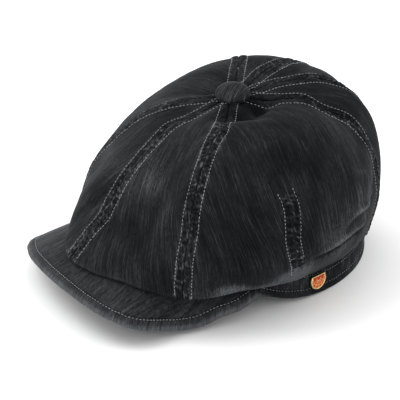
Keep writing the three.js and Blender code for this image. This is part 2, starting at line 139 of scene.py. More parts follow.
# Crown sections: the azimuths of a section at the button and at the hem, then five stations
# down the cloth with their distance out, as a share of the band's radius there, and height,
# as a share of CROWN_HEIGHT. Then the hem's lap, as a share of OVERHANG, its lift, as a share
# of BAND_HEIGHT, and how far up the band it is sewn on.
SECTIONS = (
    (0, -6, 0.31, 0.9, 0.58, 0.86, 0.87, 0.71, 1.04, 0.57, 1.13, 0.44, 0.94, -0.26, 0),
    (18, 14, 0.36, 0.94, 0.67, 0.87, 0.97, 0.69, 1.11, 0.53, 1.2, 0.4, 0.88, -0.27, 0),
    (39, 35, 0.41, 0.94, 0.7, 0.94, 1.01, 0.84, 1.2, 0.67, 1.3, 0.46, 0.84, -0.13, 0.1),
    (60, 56, 0.48, 0.96, 0.85, 0.91, 1.16, 0.76, 1.31, 0.58, 1.33, 0.37, 0.34, 0.33, 0.6),
    (84, 82, 0.51, 0.95, 0.88, 0.9, 1.19, 0.74, 1.33, 0.54, 1.31, 0.34, 0.1, 0.73, 1),
    (112, 110, 0.47, 0.94, 0.84, 0.9, 1.11, 0.74, 1.25, 0.54, 1.21, 0.32, 0.06, 0.92, 1),
    (138, 138, 0.39, 0.93, 0.64, 0.9, 0.91, 0.8, 1.07, 0.6, 1.115, 0.39, 0.05, 0.88, 1),
    (155, 155, 0.39, 0.95, 0.66, 0.93, 0.955, 0.825, 1.1, 0.62, 1.11, 0.39, 0.08, 0.86, 1),
    (170, 170, 0.37, 0.96, 0.62, 0.96, 0.88, 0.86, 1.02, 0.64, 1.06, 0.39, 0.06, 0.85, 1),
    (180, 180, 0.37, 0.97, 0.64, 0.96, 0.89, 0.86, 1.03, 0.63, 1.06, 0.38, 0.07, 0.85, 1),
    (192, 192, 0.37, 0.98, 0.62, 0.98, 0.86, 0.87, 1.02, 0.63, 1.06, 0.38, 0.06, 0.85, 1),
    (205, 205, 0.39, 1.0, 0.69, 0.97, 0.92, 0.84, 1.06, 0.62, 1.08, 0.38, 0.07, 0.86, 1),
    (224, 224, 0.39, 0.98, 0.68, 0.96, 0.93, 0.82, 1.09, 0.61, 1.13, 0.38, 0.08, 0.88, 1),
    (248, 248, 0.42, 0.96, 0.77, 0.905, 1.065, 0.747, 1.21, 0.55, 1.21, 0.34, 0.1, 0.86, 1),
    (272, 272, 0.43, 0.935, 0.78, 0.85, 1.085, 0.68, 1.24, 0.5, 1.24, 0.32, 0.1, 0.76, 1),
    (297, 299, 0.42, 0.915, 0.73, 0.827, 1.0, 0.668, 1.18, 0.48, 1.22, 0.32, 0.23, 0.42, 0.6),
    (322, 322, 0.38, 0.92, 0.65, 0.84, 0.9, 0.68, 1.07, 0.53, 1.14, 0.38, 0.46, 0.11, 0.1),
    (342, 338, 0.36, 0.9, 0.63, 0.85, 0.9, 0.69, 1.08, 0.56, 1.17, 0.41, 0.62, -0.05, 0),
)
STATION_FALLS = np.array((0, 0.16, 0.36, 0.56, 0.72, 0.87, 1))

# Big folds of the slack crown: turn and its spread, fall and its spread, and depth as a
# share of FOLD_DEPTH. A fall runs from 0 at the button to 1 at the hem.
FOLDS = (
    (14, 9, 0.7, 0.11, -0.45), (52, 9, 0.3, 0.09, -0.55), (36, 13, 0.12, 0.06, -1.1),
    (64, 16, 0.1, 0.05, -1.9), (97, 18, 0.07, 0.04, -1.9), (127, 12, 0.09, 0.045, -1.0),
    (62, 22, 0.2, 0.04, 0.6), (34, 12, 0.27, 0.05, 0.15), (66, 9, 0.78, 0.09, 0.4),
    (122, 11, 0.8, 0.06, -0.8), (128, 12, 0.66, 0.06, 0.5), (160, 8, 0.76, 0.07, -0.6),
    (196, 9, 0.7, 0.07, -0.6), (236, 10, 0.78, 0.08, -0.8), (264, 12, 0.66, 0.08, 0.5),
    (288, 10, 0.8, 0.08, -0.7), (334, 9, 0.68, 0.1, -0.45),
)

# The peak's outline: azimuth, reach out from the band as a share of PEAK_REACH, and height
# of its underside as a share of PEAK_EDGE_HEIGHT.
PEAK_OUTLINE = (
    (-66, 0.05, 0.5), (-60, 0.22, 0.33), (-54, 0.4, 0.22), (-46, 0.72, 0.32),
    (-38, 0.88, 0.57), (-28, 0.89, 0.8), (-14, 0.84, 0.96), (0, 0.86, 1.0),
    (10, 0.94, 0.94), (17, 0.99, 0.83), (22, 0.96, 0.66), (26, 0.83, 0.47),
    (30, 0.63, 0.28), (35, 0.45, 0.14), (40, 0.37, 0.19), (45, 0.31, 0.35),
    (52, 0.265, 0.5), (57, 0.16, 0.56), (61, 0.08, 0.62),
)

# Seams: turn, how far the sewn line wanders from it, and how strongly it puckers, both at
# the places down the cloth that SEAM_FALLS gives.
SEAM_FALLS = (0, 0.12, 0.25, 0.4, 0.55, 0.7, 0.78, 0.9, 1)
SEAMS = {
    "front": (0, (0, -4, -7, -3, -1, 1, 1.5, -0.5, 0), (0, 0.5, 0.6, 0.9, 1, 0.9, 1.1, 1.1, 0.9)),
    "front_left": (39, (0, 0.5, 1.5, -0.5, -1, -1, -0.5, -1, -1), (0, 0.5, 1.1, 1.2, 1.1, 1, 1, 1, 1.1)),
    "back_left": (138, (0, 0, 3, -2, 0, -1, 0, 0, 0), (0, 0.5, 0.8, 1.3, 1.5, 1.4, 1.2, 1, 0.9)),
    "centre_left": (170, (0, 0, -4, -4, -7, -5, -3, 0, 0), (0, 0.5, 0.8, 1.1, 1.2, 1.1, 0.9, 0.8, 0.8)),
    "centre_right": (192, (0, 2, 0, 0, 0, 0, 0, 0, 0), (0, 0.5, 0.8, 1.1, 1.2, 1.1, 0.9, 0.8, 0.8)),
    "back_right": (224, (0, 0, 0, 2, 3, 1, 0, 0, 0), (0, 0.5, 0.8, 1.1, 1.3, 1.3, 1.1, 0.9, 0.8)),
    "front_right": (322, (0, -2, -2, -6, -8, -7, -4, 0, 0), (0, 0.5, 0.9, 1.1, 1, 0.9, 0.9, 1, 1)),
}

# Paler, more washed areas of the crown, and darker patches of painted shade: turn and its spread, fall and
# its spread, and how much paler, a negative amount being how much darker. The darker patches are painted
# shade on the near side panel, on the panel behind it and in the dip beside the button.
FADED_AND_PAINTED_SHADE = (
    (118, 24, 0.8, 0.13, 0.3), (93, 9, 0.83, 0.09, 0.45), (128, 16, 0.5, 0.2, 0.1),
    (77, 7, 0.94, 0.06, 2.0), (12, 12, 0.5, 0.17, 0.25), (53, 7, 0.99, 0.03, 1.3),
    (74, 14, 1.0, 0.025, 1.3), (180, 25, 0.6, 0.2, 0.25), (240, 24, 0.8, 0.13, 0.4),
    (281, 6, 0.95, 0.05, 0.7), (346, 12, 0.5, 0.17, 0.25), (61, 17, 0.65, 0.24, -0.5),
    (82, 16, 0.45, 0.17, -0.7), (100, 12, 0.68, 0.16, 0.15), (150, 20, 0.5, 0.3, -0.6),
    (64, 24, 0.1, 0.045, -1.4), (110, 30, 0.06, 0.04, -0.8),
)

# How far, in mm, the ribs of the front and side cloth have swung aside at the places that
# SEAM_FALLS gives, and the turns between which that fades away. The far side mirrors it.
RIB_SWING = {
    "front": ((0, 0, 0, 1, 4, 10, 14, 22, 29), None),
    "side": ((0, 0, 0, -2, -4, 2, 8, 20, 30), (62, 100)),
}
MIRROR_TURN = 358

# Panels, each from one of the SEAMS to the next.
PANELS = ("front_left", "side_left", "back_left", "back_centre", "back_right", "side_right", "front_right")

# The dart of each side panel: points down its fold and its two stitched lines, each a turn
# and a fall. The far side mirrors the near one about the peak.
DART = {
    "fold": ((71.8, 0.553), (73.4, 0.62), (73.3, 0.71), (74, 0.8), (78, 0.96)),
    "left row": ((68.6, 0.56), (70.3, 0.62), (70.4, 0.69), (70.8, 0.78), (75.6, 0.94)),
    "right row": ((75.0, 0.545), (76.4, 0.62), (76.2, 0.69), (75.8, 0.755), (77.4, 0.83)),
}
DARTS = {
    "side_left": DART,
    "side_right": {part: [(MIRROR_TURN - turn, fall) for turn, fall in line] for part, line in DART.items()},
}

# Creases: points along each ridge, its half width, its height and how worn it is, which also sets how much
# shade is painted in the hollow below it.
CREASES = {
    "side_left": (
        (((81, 0.83), (91.8, 0.815), (103.8, 0.797), (117.2, 0.828)), 2.0, 2.4, 2.2),
        (((96, 0.77), (103, 0.735), (116, 0.76), (130, 0.8)), 2.4, 1.9, 1.7),
        (((104, 0.56), (114, 0.62), (124, 0.7)), 4.0, 0.9, 0.3),
    ),
    "side_right": (
        (((278, 0.83), (267, 0.81), (255, 0.8), (241, 0.83)), 2.4, 2.0, 1.5),
        (((262, 0.76), (254, 0.73), (243, 0.78)), 2.6, 1.3, 0.9),
    ),
    "front_left": (
        (((5, 0.7), (12, 0.76), (18, 0.88)), 3.2, 0.7, 0.1),
        (((4, 0.62), (10, 0.63), (18, 0.6)), 3.0, 0.5, 0.1),
        (((24, 0.62), (27, 0.8), (28, 0.97)), 4.5, 0.7, 0.1),
    ),
    "front_right": (
        (((356, 0.72), (349, 0.78), (343, 0.9)), 3.2, 0.7, 0.1),
        (((338, 0.6), (334, 0.78), (332, 0.95)), 4.5, 0.7, 0.1),
    ),
}

# The gilt rim's section: inset from the shield's outline, and height over the badge's back.
RIM_PROFILE = (
    (0, 0), (0, 1.15), (0.12, 1.42), (0.32, 1.57), (0.55, 1.62),
    (0.78, 1.55), (0.98, 1.38), (1.1, 1.1), (BADGE_RIM, 0),
)

# The badge's beads and wires, and the height of the enamel's middle over that of the badge
TOP_BEAD = 0.47
FOOT_BEAD = 0.3
FOOT_BEAD_PITCH = 0.78
WIRE_RADIUS = 0.16
WIRE_RAYS = (212, 241, 270, 299, 328)
WIRE_BOWS = (1.9, 5.2)
ENAMEL_MIDDLE = 0.4

# Fineness of the forms
SEAM_COLUMNS = np.array((0.12, 0.45, 0.85, 1.4, 2.1, 2.9, 3.8, 4.6, 5.1, 5.5, 5.9, 6.4, 7.2))
CLOTH_STEP = 1.35
CLOTH_ROWS = 156
HEM_ROLL_STEPS = 6
HEM_GRAIN_STEP = 1.2
UNDER_STEPS = 9
BAND_COLUMNS = 560
PEAK_SPOKES = 240
PEAK_SPANS = 46
BUTTON_COLUMNS = 132
NOISE_SIDE = 128

# Colours
DARK_DYE = 0.001
CLOTH_TINT = 0.07
# Painted shade: the colour multiplied into the cloth where its wear-and-light mark is below zero.
SUNK_SHADE = (0.3, 0.3, 0.32, 1)
GILT = (0.88, 0.66, 0.36, 1)
ORANGE = (0.52, 0.085, 0.002, 1)
ORANGE_RED = (0.4, 0.025, 0.002, 1)

# Studio, in metres, and the photo's view
STUDIO_GLOW = 1.25
CAP_MIDDLE = (0, 0, 0.06)
VIEW_AZIMUTH = 50
VIEW_ELEVATION = 27
VIEW_DISTANCE = 2600
VIEW_SCALE = 1.47
PHOTO_SIDE = 400
SENSOR = 36
AIM_ACROSS = -21.8
AIM_UP = 38.5


# Smooth curves

def knot_slopes(keys, values):
    """Slopes of a smooth curve through knots, along the last axis of the values."""
    spans = np.diff(keys)
    rises = np.diff(values) / spans
    weighted = rises[..., :-1] * spans[1:] + rises[..., 1:] * spans[:-1]
    inner = weighted / (spans[:-1] + spans[1:])
    return np.concatenate([rises[..., :1], inner, rises[..., -1:]], axis=-1)


def smooth_step(value, low, high):
    share = np.clip((value - low) / (high - low), 0, 1)
    return share * share * (3 - 2 * share)


def hermite(share, span, start, start_slope, end, end_slope):
    s2 = share * share
    s3 = s2 * share
    left = (2 * s3 - 3 * s2 + 1) * start + (s3 - 2 * s2 + share) * span * start_slope
    right = (3 * s2 - 2 * s3) * end + (s3 - s2) * span * end_slope
    return left + right


def knot_before(keys, key):
    """The knot before a key, the span to the next knot, and how far through it the key lies."""
    i = np.clip(np.searchsorted(keys, key, side="right") - 1, 0, len(keys) - 2)
    span = keys[i + 1] - keys[i]
    return i, span, (key - keys[i]) / span


def curve_through(keys, values):
    """A function that gives the value of the smooth curve through the knots."""
    keys = np.asarray(keys, float)
    values = np.asarray(values, float)
    slopes = knot_slopes(keys, values)

    def at(key):
        i, span, share = knot_before(keys, key)
        return hermite(share, span, values[i], slopes[i], values[i + 1], slopes[i + 1])

    return at


def down_the_stations(values, fall):
    """The smooth curve down one section, whose stations lie along the last axis."""
    slopes = knot_slopes(STATION_FALLS, values)
    i, span, share = knot_before(STATION_FALLS, fall)
    pick = lambda table, k: np.take_along_axis(table, k[..., None], axis=-1)[..., 0]
    ends = [pick(table, k) for k in (i, i + 1) for table in (values, slopes)]
    return hermite(share, span, *ends)


def table_at(places, keys, table):
    """Rows of a table at places between its keys."""
    return np.stack([np.interp(places, keys, column) for column in table.T], axis=-1)


def points_and_ways(rows):
    """Points and the directions out of the cloth there, from rows that hold both."""
    rows = np.array(rows)
    return rows[:, :3], unit(rows[:, 3:])


def hump(value, width):
    """1 where the value is 0, fading away over the width on either side."""
    return np.exp(-((value / width) ** 2))


def stacked(*coordinates):
    return np.stack(np.broadcast_arrays(*coordinates), axis=-1)


def placed(azimuth, out, up):
    """Points from their azimuth, distance from the crown's axis and height."""
    angle = np.radians(azimuth)
    return stacked(np.sin(angle) * out, -np.cos(angle) * out, up)


def signed(azimuth):
    return (np.asarray(azimuth) + 180) % 360 - 180


def unit(vectors):
    return vectors / np.maximum(np.linalg.norm(vectors, axis=-1, keepdims=True), 1e-9)


def lengths_along(points, axis=0):
    """Distance along a run of points from its first one."""
    steps = np.linalg.norm(np.diff(points, axis=axis), axis=-1)
    sums = np.cumsum(steps, axis=axis)
    first = np.zeros_like(np.take(sums, [0], axis=axis))
    return np.concatenate([first, sums], axis=axis)


def soft_noise(across, along, across_pitch, along_pitch, seed):
    """Smooth noise from -1 to 1 with its own pitch in each direction."""
    table = np.random.default_rng(seed).uniform(-1, 1, (NOISE_SIDE, NOISE_SIDE))
    x = np.asarray(across) / across_pitch + 60
    y = np.asarray(along) / along_pitch + 60
    column = np.floor(x).astype(int)
    row = np.floor(y).astype(int)
    sx = smooth_step(x - column, 0, 1)
    sy = smooth_step(y - row, 0, 1)
    at = lambda i, j: table[i % NOISE_SIDE, j % NOISE_SIDE]
    upper = at(column, row) * (1 - sx) + at(column + 1, row) * sx
    lower = at(column, row + 1) * (1 - sx) + at(column + 1, row + 1) * sx
    return upper * (1 - sy) + lower * sy


# Forms of the band, the peak and the crown

def band_radius(azimuth):
    across = np.sin(np.radians(azimuth))
    along = np.cos(np.radians(azimuth))
    length = np.where(along > 0, BAND_FRONT, BAND_BACK)
    return 1 / np.hypot(across / BAND_HALF_WIDTH, along / length)


arch_curve = curve_through([row[0] for row in BAND_ARCH], [row[1] * BAND_RISE for row in BAND_ARCH])


def band_floor(azimuth):
    return np.maximum(arch_curve(np.abs(signed(azimuth))), 0)


PEAK_START = PEAK_OUTLINE[0][0]
PEAK_END = PEAK_OUTLINE[-1][0]
peak_azimuths = [row[0] for row in PEAK_OUTLINE]
peak_reach = curve_through(peak_azimuths, [row[1] * PEAK_REACH for row in PEAK_OUTLINE])
peak_edge = curve_through(peak_azimuths, [row[2] * PEAK_EDGE_HEIGHT for row in PEAK_OUTLINE])


def peak_upper(azimuth, share):
    """Height of the peak's upper face at a share of the way from the band to its edge."""
    inner_up = band_floor(azimuth) + PEAK_WALL
    outer_up = peak_edge(azimuth) + PEAK_WALL
    bow = 4 * PEAK_BOW * share * (1 - share)
    return inner_up + (outer_up - inner_up) * share + bow


def lifted_over(azimuth, out, up):
    """A height, raised where it has to clear the peak."""
    side = np.clip(signed(azimuth), PEAK_START, PEAK_END)
    past = out - band_radius(side) - GAP - peak_reach(side)
    share = np.clip(1 + past / peak_reach(side), 0, 1)
    rest = peak_upper(side, share) + REST_GAP - np.maximum(past, 0)
    return np.where((side == signed(azimuth)) & (past < 2 * PEAK_WALL), np.maximum(up, rest), up)


def around_crown(column, grows=0):
    """A section's value all round the crown. It grows by so much at each whole turn."""
    keys = [row[0] + 360 * turns for turns in (-1, 0, 1, 2) for row in SECTIONS]
    values = [row[column] + grows * turns for turns in (-1, 0, 1, 2) for row in SECTIONS]
    return curve_through(keys, values)


foot_azimuth = around_crown(1, 360)
out_shares = [around_crown(column) for column in (2, 4, 6, 8, 10)]
up_shares = [around_crown(column) for column in (3, 5, 7, 9, 11)]
hem_lap, hem_lift, sewn_share = (around_crown(column) for column in (12, 13, 14))


def azimuth_down(turn, fall):
    eased = smooth_step(fall, 0.2, 1)
    return turn + (foot_azimuth(turn) - turn) * eased


def crown_at(turn, fall):
    """Points of the crown's smooth outer face."""
    turn, fall = np.broadcast_arrays(np.asarray(turn, float), np.asarray(fall, float))
    foot = azimuth_down(turn, 1)
    hem_out = band_radius(foot) + GAP + CLOTH_THICKNESS + hem_lap(turn) * OVERHANG
    sink = HEM_SINK * CLOTH_THICKNESS
    hem_free = band_floor(foot) + hem_lift(turn) * BAND_HEIGHT
    hem_up = lifted_over(foot, hem_out, hem_free - sink) + sink
    radii = [band_radius(azimuth_down(turn, fall)) for fall in STATION_FALLS[1:-1]]
    outs = [share(turn) * radius for share, radius in zip(out_shares, radii)]
    ups = [share(turn) * CROWN_HEIGHT for share in up_shares]
    out = down_the_stations(stacked(TIP_RING, *outs, hem_out), fall)
    up = down_the_stations(stacked(CROWN_HEIGHT - TIP_DIP, *ups, hem_up), fall)
    return placed(azimuth_down(turn, fall), out, up)


def crown_normals(turn, fall):
    """Directions straight out of the crown's smooth face."""
    sideways = crown_at(turn + 0.4, fall) - crown_at(turn - 0.4, fall)
    lower = np.minimum(fall + 0.006, 1)
    upper = np.maximum(fall - 0.006, 0)
    downward = crown_at(turn, lower) - crown_at(turn, upper)
    return unit(np.cross(downward, sideways))


def patches(table, turn, fall):
    """Soft patches of the crown added up, each with a turn, a fall, their spreads and an amount."""
    total = 0
    for middle, turn_spread, level, fall_spread, amount in table:
        across = signed(turn - middle) / turn_spread
        along = (fall - level) / fall_spread
        total = total + amount * np.exp(-across**2 - along**2)
    return total


# Sewn work

def pucker_spots(length, seed):
    """Hollows down one side of a seam: how far along, how far across, half length and depth."""
    rng = np.random.default_rng(seed)
    spots = []
    along = rng.uniform(1, 4)
    while along < length:
        half = rng.uniform(0.8, 1.8)
        spots.append((along, rng.uniform(2.2, 3.4), half, rng.uniform(0.4, 1.0)))
        along += 2 * half + rng.uniform(0.2, 1.6)
    return spots


def puckers(along, across, length, seed):
    """How deep the cloth lies in the hollows beside a seam, from 0 to about 1."""
    hollow = np.zeros(np.broadcast(along, across).shape)
    bent_along = along + 0.9 * soft_noise(along, across, 2.2, 1.7, seed + 61)
    bent_across = across + 0.8 * soft_noise(along, across, 2.9, 2.1, seed + 62)
    for place, middle, half, depth in pucker_spots(length, seed):
        near = ((bent_along - place) / half) ** 2 + ((bent_across - middle) / PUCKER_WIDTH) ** 2
        hollow = np.maximum(hollow, depth * np.exp(-near**1.5))
    return hollow


def seam_relief(along, across, strength, seed):
    """Height of the cloth beside a seam, at a distance across from it, and its wear, with painted shade in
    the pucker hollows and the seam's groove.
    """
    flat = 1 - smooth_step(across, STITCH_ROW, STITCH_ROW + 1.1)
    hollow = puckers(along, across, along[-1], seed) * strength * flat
    rounded = 0.35 * np.sin(np.pi * np.clip(across / STITCH_ROW, 0, 1))
    sunk = SEAM_GROOVE * hump(across, SEAM_LINE) + STITCH_DIP * hump(across - STITCH_ROW, SEAM_LINE)
    pull = 0.3 * soft_noise(along, across, 3.4, 9, seed + 60) * (1 - smooth_step(across, 5, 13)) * strength
    height = ALLOWANCE_RAISE * flat + rounded - sunk - PUCKER_DEPTH * hollow + pull * (1 - flat)
    rung = flat * (1 - smooth_step(hollow, 0.05, 0.4)) * (0.1 + 0.8 * strength)
    speckle = 0.45 + soft_noise(along, across, 1.5, 1.2, seed + 50)
    # Pale worn rungs; the pucker hollows and the groove at the seam line are darkened as painted shade.
    wear = rung * speckle - 1.1 * hollow - 0.4 * hump(across, 0.5)
    beyond = hump(across - STITCH_ROW - 1.2, 0.9)
    return height, wear + beyond * strength * (0.15 + pull)


def wrinkles(across, along, seed):
    """Soft unevenness of washed cloth that isn't pressed, of three sizes."""
    broad = 0.55 * soft_noise(across, along, 23, 31, seed)
    middle = 0.28 * soft_noise(across, along, 9, 15, seed + 1)
    return broad + middle + 0.1 * soft_noise(across, along, 3.6, 7, seed + 2)


def distance_to_line(points, line):
    """How far points lie from a run of points, how far along it, and the run's length."""
    best = np.full(points.shape[:-1], 1e9)
    along = np.zeros(points.shape[:-1])
    run = lengths_along(line)
    for a, b, start in zip(line[:-1], line[1:], run[:-1]):
        step = b - a
        share = np.clip(((points - a) @ step) / (step @ step), 0, 1)
        apart = np.linalg.norm(points - a - share[..., None] * step, axis=-1)
        nearer = apart < best
        best = np.where(nearer, apart, best)
        along = np.where(nearer, start + share * np.linalg.norm(step), along)
    return best, along, run[-1]


def smooth_line(knots, count=24):
    """Turns and falls of a smooth line through a few knots."""
    at = np.linspace(0, len(knots) - 1, count)
    return [curve_through(np.arange(len(knots)), values)(at) for values in zip(*knots)]


def dart_relief(panel, dart, seed):
    """Height of a dart, two puckered allowances between its stitched rows, and its wear, with painted shade
    in its hollows and groove.
    """
    fold, left, right = (crown_at(*smooth_line(dart[part])) for part in ("fold", "left row", "right row"))
    apart, along, length = distance_to_line(panel.base, fold)
    to_left, to_right = (distance_to_line(panel.base, row)[0] for row in (left, right))
    inside = 1 - smooth_step(apart, DART_HALF, DART_HALF + 1.2)
    ends = smooth_step(along, 0.3, 5) * (1 - smooth_step(along, length - 1, length - 0.1))
    spots = [puckers(along, apart, length, seed + side) for side in (31, 32)]
    hollow = np.where(to_left < to_right, *spots) * inside * ends
    groove = hump(apart, 0.6) * ends
    dip = hump(np.minimum(to_left, to_right), 0.6)
    height = (0.6 * inside - 0.9 * groove) * ends - STITCH_DIP * dip - PUCKER_DEPTH * hollow
    speckle = 0.5 + 0.9 * soft_noise(along, apart, 1.6, 1.2, seed + 33)
    rung = inside * ends * (1 - smooth_step(hollow, 0.05, 0.4))
    foot = hump(np.linalg.norm(panel.base - fold[-1], axis=-1), 7)
    # Paler worn rungs and foot; the darker hollows and groove are painted shade.
    return height, (1.3 * rung + 0.9 * foot) * speckle - 1.3 * hollow - 0.6 * groove


def crease_relief(panel, knots, width, rise, worn_and_painted_light, seed):
    """Height of a creased ridge with a hollow below it, which fades out at its ends, with a worn ridge and
    painted shade in the hollow.
    """
    turn, fall = smooth_line(knots)
    apart, along, length = distance_to_line(panel.base, crown_at(turn, fall))
    below = distance_to_line(panel.base, crown_at(turn, fall + HOLLOW_BELOW * width))[0]
    ends = np.sin(np.pi * np.clip(along / length, 0, 1)) ** 0.5
    ridge = hump(apart, width) * ends
    hollow = hump(below, 0.8 * width) * ends
    broken = 0.6 + 0.4 * soft_noise(along, apart, 6, 4, seed)
    # Paler worn ridge, and painted shade in the hollow below it.
    return rise * (ridge - 0.6 * hollow), worn_and_painted_light * (ridge**3 * broken - 0.5 * hollow * (1 - ridge))


# Meshes

axis_low, axis_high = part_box("crown_button")
AXIS = np.array([(axis_low[0] + axis_high[0]) / 2, (axis_low[1] + axis_high[1]) / 2, 0])


def make_mesh(name, points, faces, **marks):
    """A mesh object from points in millimetres about the crown's axis, and its marks."""
    mesh = bpy.data.meshes.new(name)
    places = points.reshape(-1, 3) * MM + AXIS
    mesh.from_pydata(places.tolist(), [], faces)
    for mark, values in marks.items():
        values = np.asarray(values, np.float32).reshape(len(places), -1)
        kind, field = ("FLOAT", "value") if values.shape[1] == 1 else ("FLOAT_VECTOR", "vector")
        mesh.attributes.new(mark, kind, "POINT").data.foreach_set(field, values.ravel())
    mesh.polygons.foreach_set("use_smooth", np.ones(len(mesh.polygons), bool))
    mesh.update()
    made = bpy.data.objects.new(name, mesh)
    scene.collection.objects.link(made)
    return made


def quads(columns, size, closed, rings=True):
    """Faces between columns of so many points, each of them a ring or an open run."""
    spans = np.arange(columns if closed else columns - 1)
    i, j = np.meshgrid(spans, np.arange(size if rings else size - 1), indexing="ij")
    here = i * size
    following = (i + 1) % columns * size
    k = (j + 1) % size
    return stacked(here + j, here + k, following + k, following + j).reshape(-1, 4)


def swept_faces(columns, size, closed):
    """Faces of a solid swept through columns that are flat loops of so many points."""
    sides = quads(columns, size, closed)
    if closed:
        return sides.tolist()
    j = np.arange(size // 2 - 1)
    cap = stacked(j, size - 1 - j, size - 2 - j, j + 1)
    last = (columns - 1) * size + cap[:, ::-1]
    return np.concatenate([sides, cap, last]).tolist()


def dome_faces(columns, rows):
    """Faces of a closed form whose columns rise from the middle of its foot to that of its top.

    The two middles are its last points."""
    foot = np.arange(columns) * rows
    after = np.roll(foot, -1)
    low = columns * rows
    high = low + 1
    under = stacked(low, after, foot)
    over = stacked(high, foot + rows - 1, after + rows - 1)
    return quads(columns, rows, True, False)[:, [0, 3, 2, 1]].tolist() + under.tolist() + over.tolist()


def tube(path, out, radius, sides=6, aside=0.0):
    """Points and faces of a thread or wire along a path, which can be moved aside."""
    along = unit(np.gradient(path, axis=0))
    side = unit(np.cross(out, along))
    angle = np.linspace(0, 2 * np.pi, sides, endpoint=False)[:, None]
    spread = np.cos(angle) * side[:, None] + np.sin(angle) * unit(np.cross(along, side))[:, None]
    rings = (path + side * aside)[:, None] + np.reshape(radius, (-1, 1, 1)) * spread
    last = (len(path) - 1) * sides
    caps = [list(range(sides))[::-1], [last + k for k in range(sides)]]
    return rings.reshape(-1, 3), quads(len(path), sides, False).tolist() + caps


def joined(parts):
    """Several pairs of points and faces made into one."""
    faces = []
    start = 0
    for points, part_faces in parts:
        faces += [[start + index for index in face] for face in part_faces]
        start += len(points)
    return np.concatenate([points for points, part_faces in parts]), faces


# Crown

def fitted_falls():
    """Falls that divide the length of the cloth evenly, on the average of all sections."""
    fine = np.linspace(0, 1, 400)
    turns = np.array([row[0] for row in SECTIONS], float)
    runs = lengths_along(crown_at(turns[:, None], fine), axis=1)
    mean = (runs / runs[:, -1:]).mean(axis=0)
    return np.interp(np.linspace(0, 1, CLOTH_ROWS), mean, fine)


FALLS = fitted_falls()


def seam_turns(seam):
    """The turn of a seam's line at every row of the cloth."""
    turn, wander = SEAMS[seam][:2]
    return turn + curve_through(SEAM_FALLS, wander)(FALLS)


